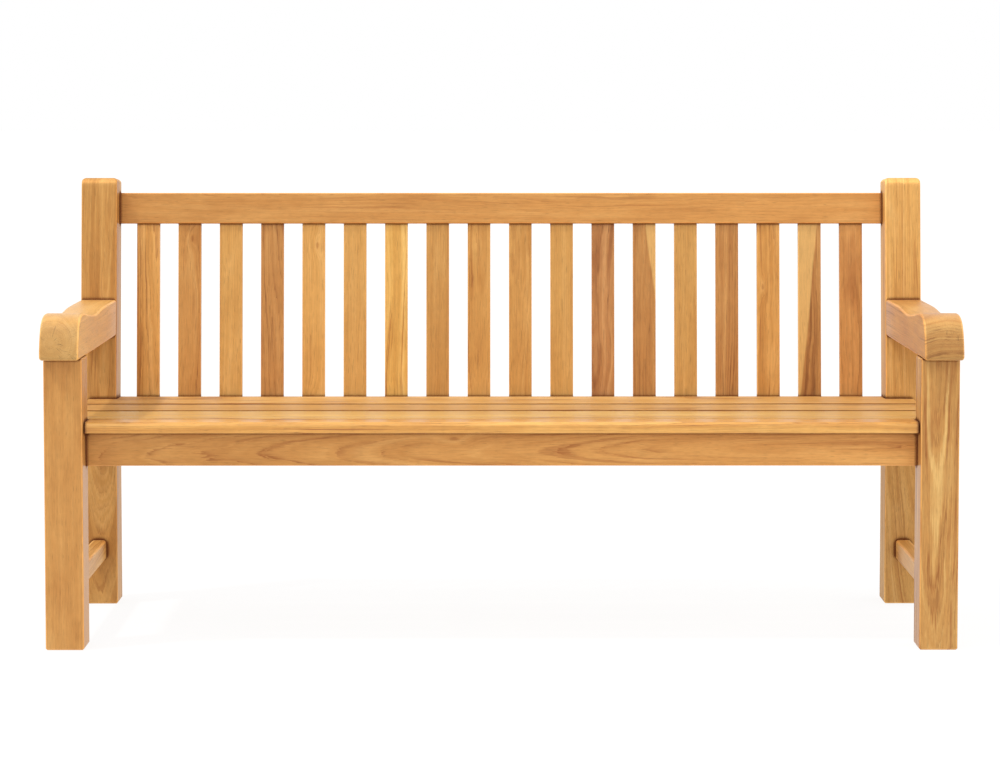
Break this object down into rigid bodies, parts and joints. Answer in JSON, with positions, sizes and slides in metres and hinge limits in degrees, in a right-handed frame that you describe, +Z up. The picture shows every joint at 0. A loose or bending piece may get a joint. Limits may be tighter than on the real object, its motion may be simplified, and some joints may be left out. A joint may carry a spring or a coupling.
{
  "type": "garden bench",
  "caption": "Long slatted hardwood garden bench with square posts, chunky scroll-nosed arms, a dished slatted seat and an upright slatted back under a straight top rail.",
  "frame": {"origin": "centre of the overall bounding box in plan, at floor level", "axes": "+Z up, +X along the bench to the viewer's right when facing its front, front of the bench towards -Y"},
  "size_m": [1.804, 0.6491, 0.9138],
  "materials": {
    "teak_legs": "oiled, satin",
    "teak_arms": "oiled, satin",
    "teak_rails": "oiled, satin",
    "teak_seat_slats": "oiled, satin",
    "teak_back_slats": "oiled, satin",
    "teak_plugs": "oiled, satin",
    "teak_pegs": "oiled, satin",
    "screws": "dull"
  },
  "bodies": {
    "root": {"armrest_left": "teak_arms", "armrest_right": "teak_arms", "back_leg_left": "teak_legs", "back_leg_right": "teak_legs", "back_slat_01": "teak_back_slats", "back_slat_02": "teak_back_slats", "back_slat_03": "teak_back_slats", "back_slat_04": "teak_back_slats", "back_slat_05": "teak_back_slats", "back_slat_06": "teak_back_slats", "back_slat_07": "teak_back_slats", "back_slat_08": "teak_back_slats", "back_slat_09": "teak_back_slats", "back_slat_10": "teak_back_slats", "back_slat_11": "teak_back_slats", "back_slat_12": "teak_back_slats", "back_slat_13": "teak_back_slats", "back_slat_14": "teak_back_slats", "back_slat_15": "teak_back_slats", "back_slat_16": "teak_back_slats", "back_slat_17": "teak_back_slats", "back_slat_18": "teak_back_slats", "front_leg_left": "teak_legs", "front_leg_right": "teak_legs", "front_seat_rail": "teak_rails", "joint_pegs": "teak_pegs", "lower_back_rail": "teak_rails", "seat_bearer_left": "teak_rails", "seat_bearer_right": "teak_rails", "seat_slat_1": "teak_seat_slats", "seat_slat_2": "teak_seat_slats", "seat_slat_3": "teak_seat_slats", "seat_slat_4": "teak_seat_slats", "seat_slat_5": "teak_seat_slats", "seat_slat_plugs": "teak_plugs", "seat_slat_screws": "screws", "side_seat_rail_left": "teak_rails", "side_seat_rail_right": "teak_rails", "side_stretcher_left": "teak_rails", "side_stretcher_right": "teak_rails", "top_back_rail": "teak_rails"}
  },
  "joints": []
}
